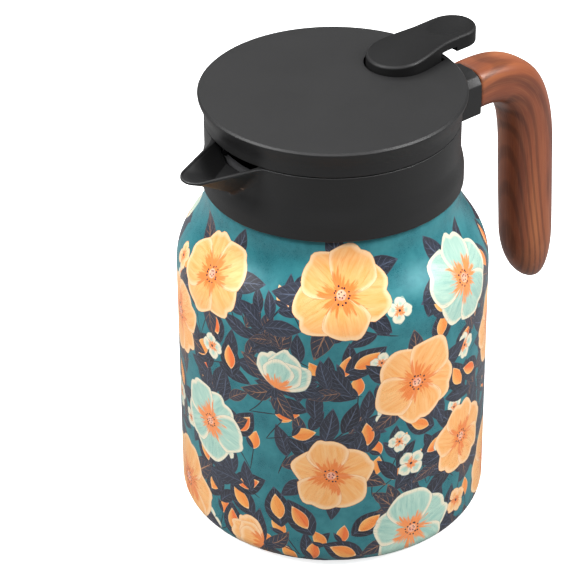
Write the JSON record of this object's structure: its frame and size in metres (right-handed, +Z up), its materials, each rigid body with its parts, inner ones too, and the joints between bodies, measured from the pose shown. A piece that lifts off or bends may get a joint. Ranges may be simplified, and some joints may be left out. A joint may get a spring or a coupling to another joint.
{
  "type": "vacuum pouring jug",
  "caption": "Round double-walled pouring jug with a beak spout, a lid with a thumb lever and pour valve, and a hook-shaped side handle.",
  "frame": {"origin": "centre of the foot on the table", "axes": "+Z up along the jug's axis, +X towards the handle and the thumb lever, -X towards the spout"},
  "size_m": [0.1915, 0.124, 0.1915],
  "materials": {
    "printed_steel": "satin printed coating: flowers and leaves on a teal ground",
    "liner_steel": "electropolished, faint turning marks",
    "foot_rubber": "matt moulded",
    "black_plastic": "fine moulded satin, charcoal",
    "silicone": "soft translucent white, matt",
    "wood_look": "reddish-brown printed wood grain under satin lacquer",
    "screw_steel": "bright plated",
    "inner_plastic": "plain moulded, dark grey",
    "spring_steel": "drawn wire"
  },
  "bodies": {
    "jug": {"foot_pad": "foot_rubber", "base_plate": "liner_steel", "outer_shell": "printed_steel", "inner_liner": "liner_steel", "collar_gasket": "silicone", "collar": "black_plastic", "handle_grip": "wood_look", "handle_screw": "screw_steel"},
    "lid_seal": {"lid_gasket": "silicone"},
    "lid": {"lid_cover": "black_plastic", "lid_plug": "inner_plastic", "plug_screw_a": "screw_steel", "plug_screw_b": "screw_steel", "plug_screw_c": "screw_steel", "stem_bush": "inner_plastic", "lever_pivot_pin": "screw_steel"},
    "lever": {"lever": "black_plastic", "lever_link_pin": "screw_steel"},
    "valve": {"valve_stem": "inner_plastic", "valve_disc": "inner_plastic", "valve_seal": "silicone", "valve_retainer": "inner_plastic", "valve_screw": "screw_steel", "valve_spring": "spring_steel"}
  },
  "joints": [
    {"name": "lid_lift", "type": "slide", "parent": "jug", "child": "lid_seal", "axis": [0, 0, 1], "range_m": [0, 0.06]},
    {"name": "lid_turn", "type": "hinge", "parent": "lid_seal", "child": "lid", "pos_m": [0, 0, 0.1734], "axis": [0, 0, 1], "range_deg": [-60, 60]},
    {"name": "lever_press", "type": "hinge", "parent": "lid", "child": "lever", "pos_m": [0.044, 0, 0.1816], "axis": [0, 1, 0], "range_deg": [0, 10.5]},
    {"name": "valve_lift", "type": "slide", "parent": "lid", "child": "valve", "axis": [0, 0, 1], "range_m": [0, 0.0035], "stiffness_N_per_m": 250, "springref_m": -0.006, "deforming": ["valve_spring"]}
  ],
  "couplings": [
    {"joint": "valve_lift", "follows": "lever_press", "m_per_rad": 0.017}
  ]
}
